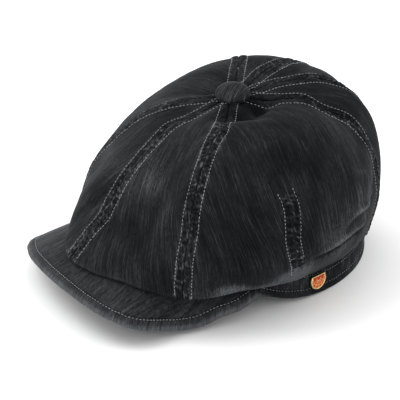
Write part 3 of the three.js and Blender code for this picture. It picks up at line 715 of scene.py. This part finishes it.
class Panel:
    """One crown panel: a fine grid of its outer face with its seams, folds, wear and painted shade."""

    def __init__(self, name, start, end, seed):
        self.name = name
        first = seam_turns(start)
        last = seam_turns(end) + (360 if SEAMS[end][0] <= SEAMS[start][0] else 0)
        fine = first + (last - first) * np.linspace(0, 1, 121)[:, None]
        across = lengths_along(crown_at(fine, FALLS))
        self.width = across[-1]
        count = int(round((self.width.max() - 2 * SEAM_COLUMNS[-1]) / CLOTH_STEP))
        edge = SEAM_COLUMNS[:, None] * np.minimum(1, self.width / (2.2 * SEAM_COLUMNS[-1]))
        shares = np.linspace(0, 1, count + 1)[1:-1, None]
        middle = edge[-1] + (self.width - 2 * edge[-1]) * shares
        self.across = np.concatenate([edge, middle, (self.width - edge)[::-1]])
        rows = zip(self.across.T, across.T, fine.T)
        self.turn = np.stack([np.interp(*row) for row in rows], axis=1)
        self.base = crown_at(self.turn, FALLS)
        self.out = crown_normals(self.turn, FALLS)
        self.along = lengths_along(self.base[len(self.base) // 2])
        self.seam_along = lengths_along(crown_at(np.stack([first, last]), FALLS), axis=1)
        self.relieve(start, end, seed)

    def relieve(self, start, end, seed):
        """Raises the smooth face into its folds, seams, dart and creases, and notes its wear, painted light
        and painted shade.
        """
        centre = self.across - self.width / 2
        height = FOLD_DEPTH * patches(FOLDS, self.turn, FALLS) + wrinkles(centre, self.along, seed)
        wear = 0.2 * soft_noise(centre, self.along, 14, 22, seed + 3) + patches(FADED_AND_PAINTED_SHADE, self.turn, FALLS)
        reliefs = []
        for side, seam in enumerate((start, end)):
            distance = np.abs(side * self.width - self.across)
            strength = np.interp(FALLS, SEAM_FALLS, SEAMS[seam][2])
            reliefs.append(seam_relief(self.seam_along[side], distance, strength, seed + 10 + 10 * side))
        if self.name in DARTS:
            reliefs.append(dart_relief(self, DARTS[self.name], seed))
        for number, crease in enumerate(CREASES.get(self.name, ())):
            reliefs.append(crease_relief(self, *crease, seed + 70 + number))
        for raised, worn_and_painted_light in reliefs:
            height = height + raised
            wear = wear + worn_and_painted_light
        # Paler at the hem's worn edge; darker near the button, painted shade in the dip round it.
        self.wear = wear + 0.2 * hump(self.along[-1] - self.along, 1.2) - 0.7 * hump(self.along, 16)
        height = height * smooth_step(self.along, 0, 6)
        self.face = self.base + self.out * height[..., None]
        self.face_and_out = np.concatenate([self.face, self.out], axis=-1)
        self.grain = stacked(centre - self.swing(), self.along, 0.0)

    def swing(self):
        """How far the ribs have swung aside all over the panel."""
        part, side = self.name.split("_")
        if part not in RIB_SWING:
            return 0
        shifts, fade = RIB_SWING[part]
        turn = self.turn if side == "left" else MIRROR_TURN - self.turn
        kept = 1 - smooth_step(turn, *fade) if fade else 1
        return curve_through(SEAM_FALLS, shifts)(FALLS) * kept * (1 if side == "left" else -1)

    def on_face(self, knots):
        """Points of the finished face, and directions out of it, on the smooth line of some knots."""
        line = []
        for turn, fall in zip(*smooth_line(knots, 60)):
            row = np.interp(fall, FALLS, np.arange(len(FALLS)))
            j = int(row)
            above, below = (table_at(turn, self.turn[:, k], self.face_and_out[:, k]) for k in (j, j + 1))
            line.append(above + (below - above) * (row - j))
        return points_and_ways(line)

    def beside_seam(self, end, distance):
        """The line that keeps a distance from one of the panel's seams, and directions out of it."""
        targets = self.width - distance if end else np.full_like(self.width, distance)
        squeezed = np.clip(targets, 0.3 * self.width, 0.7 * self.width)
        targets = np.where(self.width < 2 * distance, squeezed, targets)
        rows = zip(targets, self.across.T, self.face_and_out.swapaxes(0, 1))
        return points_and_ways([table_at(*row) for row in rows])

    def wall(self):
        """The closed wall of cloth, with its hem turned under and sewn to the band."""
        outer, inner = self.hem()
        inside = self.face - CLOTH * self.out
        loops = np.concatenate([self.face, outer, inner[:, ::-1], inside[:, ::-1]], axis=1)
        hem_rows = 2 * outer.shape[1]
        grain, wear = (
            np.concatenate([table, np.repeat(table[:, -1:], hem_rows, axis=1), table[:, ::-1]], axis=1)
            for table in (self.grain, self.wear)
        )
        rows = np.arange(hem_rows)
        grain[:, len(FALLS) + rows, 1] += HEM_GRAIN_STEP * np.minimum(rows, rows[::-1])
        faces = swept_faces(*loops.shape[:2], False)
        return make_mesh("cloth_" + self.name, loops, faces, grain=grain, wear=wear)

    def hem(self):
        """The hem's outer and inner side, from below the edge of the cloth to the band."""
        flat = lambda points: stacked(np.hypot(points[:, 0], points[:, 1]), points[:, 2])
        tip = self.face[:, -1]
        azimuth = np.degrees(np.arctan2(tip[:, :1], -tip[:, 1:2]))
        down = unit(flat(tip) - flat(self.face[:, -4]))
        facing = stacked(-down[:, 1], down[:, 0])
        centre = (flat(tip) - facing * HEM_ROLL)[:, None]
        angle = np.radians(np.linspace(0, 180, HEM_ROLL_STEPS + 1)[1:, None])
        spread = np.cos(angle) * facing[:, None] + np.sin(angle) * down[:, None]
        rolls = [centre + radius * spread for radius in (HEM_ROLL, HEM_ROLL - CLOTH)]
        start = rolls[0][:, -1:]
        sewn_room = BAND_HEIGHT - PEAK_WALL - GAP - CLOTH_THICKNESS
        sewn_up = band_floor(azimuth) + PEAK_WALL + GAP + sewn_share(self.turn[:, -1:]) * sewn_room
        sewn = stacked(band_radius(azimuth) + GAP, sewn_up)
        share = np.linspace(0, 1, UNDER_STEPS + 1)[1:, None]
        under = start * (1 - share) + sewn * share
        under[..., 1] = lifted_over(azimuth, under[..., 0], under[..., 1])
        run = unit(np.gradient(np.concatenate([start, under], axis=1), axis=1))[:, 1:]
        inside = under + CLOTH * stacked(run[..., 1], -run[..., 0])
        sides = [np.concatenate(pair, axis=1) for pair in zip(rolls, (under, inside))]
        return [placed(azimuth, side[..., 0], side[..., 1]) for side in sides]


# Band and peak

def band_profile():
    """The band's outline round one section: inset from its outer face, and height."""
    rows = np.linspace(BAND_CORNER, BAND_HEIGHT - BAND_CORNER, 24)
    angle = np.radians((22.5, 45, 67.5))
    near = BAND_CORNER * (1 - np.sin(angle))
    far = BAND_CORNER * (1 - np.cos(angle))
    parts = (
        (near, BAND_HEIGHT - far),
        (0 * rows, rows[::-1]),
        (far, near),
        (BAND_WALL - near, far),
        (0 * rows[::3] + BAND_WALL, rows[::3]),
        (BAND_WALL - far, BAND_HEIGHT - near),
    )
    return np.concatenate([stacked(*part) for part in parts])


def band_relief(azimuth, up):
    """How far the band's cloth stands out of its smooth face at a height above its lower edge."""
    dips = sum(hump(up - row, 0.6) for row in BAND_ROWS)
    pucker = 0.22 * soft_noise(azimuth * 1.6, up, 3.4, 7, 71) * smooth_step(up, 1, 5)
    swell = 0.3 * soft_noise(azimuth * 1.6, up, 17, 19, 72)
    return pucker + swell - 0.4 * dips


def band_solid():
    profile = band_profile()
    azimuth = np.arange(BAND_COLUMNS)[:, None] * 360 / BAND_COLUMNS
    inset, up = profile.T
    relief = band_relief(azimuth, up) * (1 - smooth_step(inset, 0.2, BAND_WALL * 0.7))
    points = placed(azimuth, band_radius(azimuth) - inset + relief, band_floor(azimuth) + up)
    around = lengths_along(placed(azimuth, band_radius(azimuth), 0))
    # Paler at the worn lower edge and where the cloth stands out; darker in the stitched dips and hollows,
    # painted shade.
    wear = 0.6 * hump(up, 1.4) + 2 * np.clip(relief, -0.4, 0.2)
    faces = swept_faces(BAND_COLUMNS, len(profile), True)
    return make_mesh("band_cloth", points, faces, grain=stacked(around, up, 0.0), wear=wear)


def band_row(height):
    """A line round the band's outer face at a height above its lower edge, and directions out."""
    azimuth = np.linspace(0, 360, BAND_COLUMNS)
    out = band_radius(azimuth) + band_relief(azimuth, height)
    return placed(azimuth, out, band_floor(azimuth) + height), placed(azimuth, 1.0, 0.0)


def peak_solid():
    """The curved peak's mesh, and the lines of the stitch row on its upper and lower face."""
    azimuth = np.linspace(PEAK_START, PEAK_END, PEAK_SPOKES)[:, None]
    share = np.linspace(0, 1, PEAK_SPANS)
    out = band_radius(azimuth) + GAP + peak_reach(azimuth) * share
    up = peak_upper(azimuth, share)
    smooth = placed(azimuth, out, up)
    edge = smooth[:, -1]
    inset = np.linalg.norm(smooth[:, :, None] - edge, axis=-1).min(axis=2)
    row = hump(inset - PEAK_STITCH, 0.7)
    roll = 0.35 * smooth_step(inset, 0.4, 3) * (1 - smooth_step(inset, 4, PEAK_STITCH))
    x, y = smooth[..., 0], smooth[..., 1]
    ripple = 0.25 * soft_noise(x, y, 13, 19, 41) + 0.09 * soft_noise(x, y, 4, 6, 42)
    relief = roll - 0.45 * row + ripple * smooth_step(inset, 0, 4)
    rim = PEAK_WALL / 2
    drop = rim - np.sqrt(rim**2 - (rim - np.minimum(inset, rim)) ** 2)
    upper = placed(azimuth, out, up - drop + relief)
    lower = placed(azimuth, out, up - PEAK_WALL + drop - 0.6 * relief)
    slant = np.radians(PEAK_RIBS * (1 - smooth_step(x, -55, 35)))
    y = y + BAND_FRONT
    rolled = inset < PEAK_STITCH
    across = np.where(rolled, lengths_along(edge)[:, None], x * np.cos(slant) + y * np.sin(slant))
    along = np.where(rolled, 40 + inset, y * np.cos(slant) - x * np.sin(slant))
    grain = stacked(across, along, 0.0)
    # Paler at the worn rim and towards the edge; darker in the stitch row, painted shade; paler at the left
    # tip, a painted highlight.
    wear = 0.7 * hump(inset, 1.5) - 0.5 * row + 0.3 * share + 1.2 * (1 - smooth_step(azimuth, -62, -30))
    faces = swept_faces(PEAK_SPOKES, 2 * PEAK_SPANS, False)
    points, grain, wear = (
        np.concatenate([above, below[:, ::-1]], axis=1)
        for above, below in ((upper, lower), (grain, grain), (wear, wear))
    )
    wide = inset[:, 0] > PEAK_STITCH + 1
    lines = []
    for face, side in ((upper, 1), (lower, -1)):
        ways = unit(np.cross(np.gradient(face, axis=1), np.gradient(face, axis=0))) * side
        spokes = zip(-inset[wide], np.concatenate([face, ways], axis=-1)[wide])
        lines.append(points_and_ways([table_at(-PEAK_STITCH, *spoke) for spoke in spokes]))
    return make_mesh("peak_cloth", points, faces, grain=grain, wear=wear), lines


# Button

def button_outline():
    """The button's outline from the foot of its post to its top: distance out and height."""
    radius = BUTTON_WIDTH / 2
    post = TIP_RING - GAP
    outline = [(post, up) for up in (-BUTTON_POST, -BUTTON_POST / 2, 0)]
    outline += [(out, 0.25) for out in np.linspace(post + 0.6, radius - 1.6, 4)]
    for a in np.radians((-60, -45, -30, -15, 0)):
        outline.append((radius - 1.4 + 1.4 * np.cos(a), BUTTON_SEAT + 1.3 * np.sin(a)))
    for a in np.radians(np.linspace(0, 90, 27)[1:-1]):
        rise = (BUTTON_HEIGHT - BUTTON_SEAT) * np.sin(a) ** 0.92
        outline.append((radius * np.cos(a), BUTTON_SEAT + rise))
    return np.array(outline)


def button_solid():
    """The covered button: a low dome, gathered under its rim, that leans over its post."""
    outline = button_outline()
    out, up = outline.T
    azimuth = np.linspace(0, 360, BUTTON_COLUMNS, endpoint=False)[:, None]
    angle = np.radians(azimuth)
    gathers = np.sin(angle * 23 + 1.3 * np.sin(angle * 5)) + 0.6 * np.sin(angle * 41)
    out = out + 0.16 * gathers * hump(up - 0.6 * BUTTON_SEAT, 1.6) * (out > TIP_RING)
    middles = [[0, 0, -BUTTON_POST], [0, 0, BUTTON_HEIGHT]]
    points = np.concatenate([placed(azimuth, out, up).reshape(-1, 3), middles])
    across, along, height = points.T.copy()
    low_side = placed(BUTTON_LEAN_AZIMUTH, np.tan(np.radians(BUTTON_LEAN)), 0.0)
    points[:, 2] -= (points @ low_side) * (height > -BUTTON_POST / 2)
    points[:, 2] += CROWN_HEIGHT - TIP_DIP + BUTTON_LIFT
    cos, sin = np.cos(np.radians(BUTTON_STRIPES)), np.sin(np.radians(BUTTON_STRIPES))
    grain = stacked(across * cos + along * sin, across * sin - along * cos, 0.0)
    # Paler towards the +X side, painted light, and darker at the foot of the dome, painted shade under its
    # rim.
    wear = 0.6 * across / BUTTON_WIDTH - 1.6 * hump(np.maximum(height, 0), 1.6)
    faces = dome_faces(BUTTON_COLUMNS, len(outline))
    return make_mesh("button_cloth", points, faces, grain=grain, wear=wear)


# Badge

def shield(inset, count=20):
    """The outline of the half-round shield, set in by a distance: flat top, round foot."""
    half = BADGE_WIDTH / 2 - inset
    top_half = BADGE_TOP_WIDTH / 2 - inset
    top = BADGE_HEIGHT / 2 - inset
    shoulder = BADGE_WIDTH / 2 - BADGE_HEIGHT / 2
    shares = np.linspace(0, 1, 6)[:-1]
    side = [(top_half + (half - top_half) * share, top + (shoulder - top) * share) for share in shares]
    arc = np.radians(np.linspace(180, 360, 2 * count))
    points = [(-out, up) for out, up in side]
    points += [(half * np.cos(a), shoulder + half * np.sin(a)) for a in arc]
    points += side[::-1]
    points += [(across, top) for across in np.linspace(top_half, -top_half, count)[1:-1]]
    return np.array(points)


def on_badge(points):
    """Points of the badge's own plane, across, up and out, put in place on the band."""
    sag = BADGE_WIDTH * BADGE_WIDTH / 8 / BAND_HALF_WIDTH
    outward = placed(BADGE_AZIMUTH, 1.0, 0.0)
    across = np.cross((0, 0, 1), outward)
    seat = placed(BADGE_AZIMUTH, band_radius(BADGE_AZIMUTH) + GAP + sag / 2, BADGE_CENTRE_HEIGHT)
    return seat + points[..., :1] * across + points[..., 1:2] * (0, 0, 1) + points[..., 2:] * outward


def badge_rim():
    """The gilt rim: a rounded band that follows the shield's outline."""
    loops = [stacked(*shield(inset).T, up) for inset, up in RIM_PROFILE]
    points = on_badge(np.stack(loops, axis=1))
    return make_mesh("badge_rim_gilt", points, swept_faces(*points.shape[:2], True))


def small_ball(middle, radius, rings=6, sides=10):
    """Points and faces of a bead."""
    tilt = np.linspace(np.pi, 0, rings + 1)[1:-1]
    azimuth = np.linspace(90, 450, sides, endpoint=False)[:, None]
    shell = placed(azimuth, np.sin(tilt), np.cos(tilt)).reshape(-1, 3)
    points = np.concatenate([shell, [(0, 0, -1), (0, 0, 1)]]) * radius + middle
    return points, dome_faces(sides, rings - 1)


def badge_beads():
    """Beads set along the rim: bigger ones on the flat top, fine ones round the foot."""
    middle = shield(BADGE_RIM / 2, 200)
    closed = np.vstack([middle, middle[:1]])
    run = lengths_along(closed)
    top_half = BADGE_TOP_WIDTH / 2 - BADGE_RIM / 2
    beads = []
    for across in np.linspace(-top_half, top_half, 12):
        beads.append(small_ball((across, BADGE_HEIGHT / 2 - 0.35, 1.5), TOP_BEAD))
    for place in np.arange(2.4, run[-1] - 2 * top_half - 1.6, FOOT_BEAD_PITCH):
        beads.append(small_ball((*table_at(place, run, closed), 1.56), FOOT_BEAD))
    points, faces = joined(beads)
    return make_mesh("badge_beads", on_badge(points), faces)


def enamel_height(points):
    """Height of the enamel's dome over the badge's back."""
    half = BADGE_WIDTH / 2 - BADGE_RIM
    far = np.hypot(points[..., 0], points[..., 1] - ENAMEL_MIDDLE) / half
    return 1.12 + 0.42 * np.sqrt(np.clip(1 - 0.85 * far**2, 0, 1))


def badge_field():
    """The domed enamel inside the rim."""
    edge = shield(BADGE_RIM + 0.02)
    centre = np.array([0, ENAMEL_MIDDLE])
    loops = [centre + (edge - centre) * share for share in np.linspace(1, 0, 16)[:-1]]
    rows = [stacked(*edge.T, 0.0)] + [stacked(*loop.T, enamel_height(loop)) for loop in loops]
    middles = [[*centre, 0], [*centre, enamel_height(centre)]]
    points = np.concatenate([np.stack(rows, axis=1).reshape(-1, 3), middles])
    depth = (points[:, 1] + BADGE_HEIGHT / 2) / BADGE_HEIGHT
    faces = dome_faces(len(edge), len(rows))
    return make_mesh("badge_enamel_field", on_badge(points), faces, depth=depth)


def badge_wires():
    """Fine gilt wires in the enamel: rays from the middle of the top, and two bows across them."""
    top = BADGE_HEIGHT / 2 - BADGE_RIM
    half = BADGE_WIDTH / 2 - BADGE_RIM - 0.05
    ways = lambda degrees: stacked(np.cos(np.radians(degrees)), np.sin(np.radians(degrees)))
    lines = [np.outer(np.linspace(WIRE_BOWS[0], 9.5, 30), ways(angle)) for angle in WIRE_RAYS]
    lines += [radius * ways(np.linspace(180, 360, 40)) for radius in WIRE_BOWS]
    wires = []
    for line in lines:
        across, up = (line + (0, top - 1.1)).T
        within = (np.hypot(across, np.minimum(up - 0.25, 0)) < half) & (np.abs(across) < half) & (up < top)
        flat = stacked(across, up)[within]
        path = stacked(*flat.T, enamel_height(flat) + 0.02)
        wires.append(tube(path, (0, 0, 1), WIRE_RADIUS))
    points, faces = joined(wires)
    return make_mesh("badge_wires", on_badge(points), faces)


# Stitching

def sewn_rows(name, rows, seed, slot):
    """Rows of topstitching, each a run of points with the directions out of the cloth."""
    rng = np.random.default_rng(seed)
    shares = np.linspace(0, 1, STITCH_RINGS)
    rise = THREAD * (1.2 * np.sin(np.pi * shares) ** 0.55 - 0.9)
    radius = THREAD / 2 * (0.75 + 0.25 * np.sin(np.pi * shares) ** 0.5)
    stitches = []
    for points, outward in rows:
        along = lengths_along(points)
        start = rng.uniform(0.2, 0.8)
        while start + STITCH_LENGTH < along[-1]:
            places = start + STITCH_LENGTH * rng.uniform(0.9, 1.08) * shares
            out = unit(table_at(places, along, outward))
            path = table_at(places, along, points) + out * rise[:, None]
            stitches.append(tube(path, out, radius, aside=rng.normal(0, 0.05)))
            start += STITCH_PITCH * rng.uniform(0.96, 1.04)
    points, faces = joined(stitches)
    shade = np.repeat(rng.uniform(-1, 1, len(stitches)), len(points) // len(stitches))
    placed_piece(make_mesh(name, points, faces, shade=shade), "thread", slot)


# Shader sums

class Wire:
    """A socket of a material's nodes. Sums written with it add the Math nodes they need."""

    def __init__(self, finish, socket):
        self.finish = finish
        self.socket = socket

    def sum(self, operation, *values):
        return self.finish.node("ShaderNodeMath", dict(enumerate(values)), operation=operation)

    def __add__(self, other):
        return self.sum("ADD", self, other)

    __radd__ = __add__

    def __sub__(self, other):
        return self.sum("SUBTRACT", self, other)

    def __rsub__(self, other):
        return self.sum("SUBTRACT", other, self)

    def __mul__(self, other):
        return self.sum("MULTIPLY", self, other)

    __rmul__ = __mul__

    def __pow__(self, other):
        return self.sum("POWER", self, other)

    def between(self, low, high):
        """0 below the low value, 1 above the high one, smooth in between."""
        sockets = {"Value": self, "From Min": low, "From Max": high}
        return self.finish.node("ShaderNodeMapRange", sockets, interpolation_type="SMOOTHSTEP")

    def over(self, scale, shift):
        """This vector times another, and shifted."""
        scaled = self.finish.node("ShaderNodeVectorMath", {0: self, 1: scale}, operation="MULTIPLY")
        return self.finish.node("ShaderNodeVectorMath", {0: scaled, 1: shift}, operation="ADD")


class Finish:
    """A material being made, and the surface at the end of its nodes."""

    def __init__(self, name):
        self.material = bpy.data.materials.new(name)
        self.material.use_nodes = True
        self.tree = self.material.node_tree
        self.surface = self.tree.nodes["Principled BSDF"]

    def node(self, kind, sockets, output=0, **settings):
        """Adds a node with its settings and the values or links of its sockets."""
        made = self.tree.nodes.new(kind)
        for setting, value in settings.items():
            setattr(made, setting, value)
        for socket, value in sockets.items():
            self.plug(made.inputs[socket], value)
        return Wire(self, made.outputs[output])

    def plug(self, socket, value):
        if isinstance(value, Wire):
            self.tree.links.new(value.socket, socket)
        else:
            socket.default_value = value

    def set(self, **sockets):
        """Sets or links the surface's sockets, named with _ for each space."""
        for socket, value in sockets.items():
            self.plug(self.surface.inputs[socket.replace("_", " ").title().replace("Ior", "IOR")], value)

    def mark(self, name, output="Fac"):
        return self.node("ShaderNodeAttribute", {}, output, attribute_name=name)

    def place(self):
        return self.node("ShaderNodeTexCoord", {}, "Object")

    def noise(self, vector, scale, detail, roughness):
        sockets = {"Vector": vector, "Scale": scale, "Detail": detail, "Roughness": roughness}
        return self.node("ShaderNodeTexNoise", sockets)

    def blend(self, share, first, second, blend_type="MIX"):
        """Two colours mixed by a share of the second."""
        sockets = {0: share, 6: first, 7: second}
        return self.node("ShaderNodeMix", sockets, 2, data_type="RGBA", blend_type=blend_type)

    def bump(self, height, distance, strength=1.0):
        sockets = {"Height": height, "Distance": distance, "Strength": strength}
        return self.node("ShaderNodeBump", sockets)


def grey(level, tint):
    """A near-neutral colour, a little bluer with the tint."""
    return (level * (1 - tint), level, level * (1 + tint), 1)


def canvas(name, light, rib=1.7, contrast=1.25, wave=0.9, strand=0.75, flecked=1.0, sheen=0.2):
    """Washed canvas: fine pale ribs down the cloth on a dark ground, paler where it is worn and where light
    is painted on, and darker where shade is painted in.
    """
    finish = Finish(name)
    grain = finish.mark("grain", "Vector")
    wear = finish.mark("wear")

    def cloud(fine_across, fine_along, shift, detail=2, roughness=0.6):
        return finish.noise(grain.over((fine_across, fine_along, 1), shift), 1, detail, roughness)

    drift = cloud(0.1, 0.03, (0, 0, 0), 1, 0.5) - 0.5
    across = finish.node("ShaderNodeSeparateXYZ", {0: grain})
    ribs = (((across + wave * drift) * (2 * np.pi / rib)).sum("SINE") * 0.5 + 0.5) ** 1.7
    threads = cloud(0.7, 0.05, (17, 5, 3)).between(0.3, 0.66)
    slubs = cloud(1.3, 0.3, (7, 25, 3)).between(0.32, 0.66)
    patch = cloud(0.05, 0.035, (3, 9, 1), 3, 0.55).between(0.3, 0.72)
    flecks = cloud(0.75, 0.55, (31, 7, 5), 3, 0.7)
    strands = cloud(1.3, 0.038, (2, 11, 6), 1, 0.5).between(0.5, 0.68)
    lines = ribs * (0.25 + 0.45 * threads + strand * strands) * (0.45 + 0.55 * slubs)
    # Paleness from the mark: real wear, and painted light such as the highlight on the peak's left tip and
    # the lit side of the button.
    worn_and_painted_light = wear.between(-0.15, 1.5)
    pale = contrast * lines * (0.35 + 0.3 * patch + 1.7 * worn_and_painted_light) + 0.07 * patch
    rubbed = (0.5 - 0.45 * flecked) + (0.2 + 0.8 * flecked) * flecks.between(0.4, 0.6)
    level = pale + 0.05 * flecks.between(0.35, 0.75) + worn_and_painted_light * rubbed * (0.25 + 0.9 * ribs)
    colour = finish.blend(level.between(-0.15, 1.8), grey(DARK_DYE, CLOTH_TINT), grey(light, CLOTH_TINT))
    # Painted shade: where the mark falls below zero, the colour is darkened towards SUNK_SHADE.
    shade = finish.blend((0 - wear).between(0.1, 1.1), (1, 1, 1, 1), SUNK_SHADE)
    dye_and_painted_shade = finish.blend(1.0, colour, shade, "MULTIPLY")
    weave = cloud(1.9, 0.5, (5, 5, 5))
    nap = cloud(2.6, 2.2, (1, 8, 2))
    normal = finish.bump(ribs * 0.6 + 0.5 * weave + 0.5 * nap, 0.3 * MM, 0.55)
    finish.set(base_color=dye_and_painted_shade, roughness=0.9 - 0.1 * lines, normal=normal, specular_ior_level=0.06)
    finish.set(sheen_weight=sheen, sheen_roughness=0.25, sheen_tint=(0.75, 0.8, 0.85, 1))
    return finish.material


def gilt():
    """Worn gilt brass with a fine unevenness."""
    finish = Finish("pale_gilt")
    cloud = finish.noise(finish.place(), 900, 3, 0.6)
    dull = tuple(0.62 * level for level in GILT[:3]) + (1,)
    finish.set(base_color=finish.blend(cloud.between(0.35, 0.75), GILT, dull), metallic=1)
    finish.set(roughness=0.25 + 0.15 * cloud, normal=finish.bump(cloud, 0.05 * MM, 0.5))
    return finish.material


def enamel():
    """Glossy orange enamel, redder towards the top of the badge."""
    finish = Finish("orange_enamel")
    cloud = finish.noise(finish.place(), 700, 2, 0.5)
    red = (finish.mark("depth") + 0.25 * cloud).between(0.55, 1.0)
    finish.set(base_color=finish.blend(red, ORANGE, ORANGE_RED), roughness=0.35 + 0.1 * cloud)
    finish.set(coat_weight=0.06, coat_roughness=0.1, specular_ior_level=0.12)
    return finish.material


def topstitch_thread():
    """Grey thread, each stitch a little paler or darker than the next."""
    finish = Finish("grey_topstitch_thread")
    ply = finish.noise(finish.place(), 2600, 1, 0.5)
    share = (finish.mark("shade") * 0.5 + 0.5) * 0.6 + 0.4 * ply
    colour = finish.blend(share, grey(0.18, 0.02), grey(0.36, 0.02))
    finish.set(base_color=colour, roughness=0.7, normal=finish.bump(ply, 0.08 * MM), sheen_weight=0.2)
    return finish.material


peak_look = {"rib": 1.6, "contrast": 1.9, "wave": 0.1, "strand": 0.3, "flecked": 0.2, "sheen": 0.35}
finishes = {
    "crown": canvas("washed_charcoal_canvas", 0.09, sheen=0.07),
    "band": canvas("washed_band_canvas", 0.1, sheen=0.07),
    "peak": canvas("washed_peak_canvas", 0.095, **peak_look),
    "button": canvas("striped_button_canvas", 0.1, rib=1.5, contrast=1.5, strand=1.3),
    "thread": topstitch_thread(),
    "gilt": gilt(),
    "enamel": enamel(),
}


# The pieces in their places

def placed_piece(piece, finish, slot, *nodes):
    """Gives a piece its finish and its place in the frame."""
    piece.data.materials.append(finishes[finish])
    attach(piece, "root")
    if nodes:
        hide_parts(*nodes)


seams = list(SEAMS)
for number, (name, start, end) in enumerate(zip(PANELS, seams, seams[1:] + seams[:1])):
    panel = Panel(name, start, end, 100 * (number + 1))
    placed_piece(panel.wall(), "crown", "crown_canvas", "panel_" + name)
    rows = [panel.beside_seam(side, STITCH_ROW) for side in (0, 1)]
    if name in DARTS:
        rows += [panel.on_face(DARTS[name][row]) for row in ("left row", "right row")]
    sewn_rows("topstitch_" + name, rows, 7 + number, "crown_canvas")

placed_piece(band_solid(), "band", "band_canvas", "band")
sewn_rows("topstitch_band", [band_row(height) for height in BAND_ROWS], 31, "band_canvas")

peak, peak_rows = peak_solid()
placed_piece(peak, "peak", "peak_canvas", "peak")
sewn_rows("topstitch_peak", peak_rows, 37, "peak_canvas")

placed_piece(button_solid(), "button", "button_canvas", "crown_button")
placed_piece(badge_rim(), "gilt", "badge_metal", "badge_rim")
placed_piece(badge_beads(), "gilt", "badge_metal")
placed_piece(badge_field(), "enamel", "badge_enamel", "badge_enamel")
placed_piece(badge_wires(), "gilt", "badge_metal")


# Floor, lights and camera

def stage_floor():
    finish = Finish("pale_floor")
    finish.set(base_color=(0.9, 0.9, 0.9, 1), roughness=0.9)
    bpy.ops.mesh.primitive_plane_add(size=14)
    floor = bpy.context.object
    floor.name = "studio_floor"
    floor.data.materials.append(finish.material)


def aimed(data, place, way):
    """A light or camera in its place, which looks the given way."""
    made = bpy.data.objects.new(data.name, data)
    made.location = place
    made.rotation_euler = Vector(way).to_track_quat("-Z", "Y").to_euler()
    scene.collection.objects.link(made)
    return made


def soft_light(name, place, size, power):
    lamp = bpy.data.lights.new(name, "AREA")
    lamp.shape = "DISK"
    lamp.size = size
    lamp.energy = power
    aimed(lamp, place, Vector(CAP_MIDDLE) - Vector(place))


def studio():
    world = bpy.data.worlds.new("studio_white")
    world.use_nodes = True
    glow = world.node_tree.nodes["Background"].inputs
    glow["Color"].default_value = (1, 1, 1, 1)
    glow["Strength"].default_value = STUDIO_GLOW
    scene.world = world
    soft_light("high_left_light", (-0.9, -0.9, 2.1), 1.5, 20)
    soft_light("back_light", (0.6, 1.7, 1.7), 1.5, 9)
    soft_light("low_left_light", (-1.9, 0.1, 0.55), 1.2, 10)


def photo_camera():
    """The camera that sees the cap as the photo does."""
    turn = np.radians(VIEW_AZIMUTH)
    lift = np.radians(VIEW_ELEVATION)
    towards = np.array([np.sin(turn) * np.cos(lift), -np.cos(turn) * np.cos(lift), np.sin(lift)])
    right = np.array([np.cos(turn), np.sin(turn), 0])
    aim = AIM_ACROSS * right + AIM_UP * np.cross(towards, right)
    data = bpy.data.cameras.new("photo_camera")
    data.sensor_width = SENSOR
    data.lens = VIEW_SCALE * VIEW_DISTANCE * SENSOR / PHOTO_SIDE
    data.clip_end = 50
    scene.camera = aimed(data, (aim + VIEW_DISTANCE * towards) * MM + AXIS, -towards)


scene.view_settings.view_transform = "Standard"
stage_floor()
studio()
photo_camera()

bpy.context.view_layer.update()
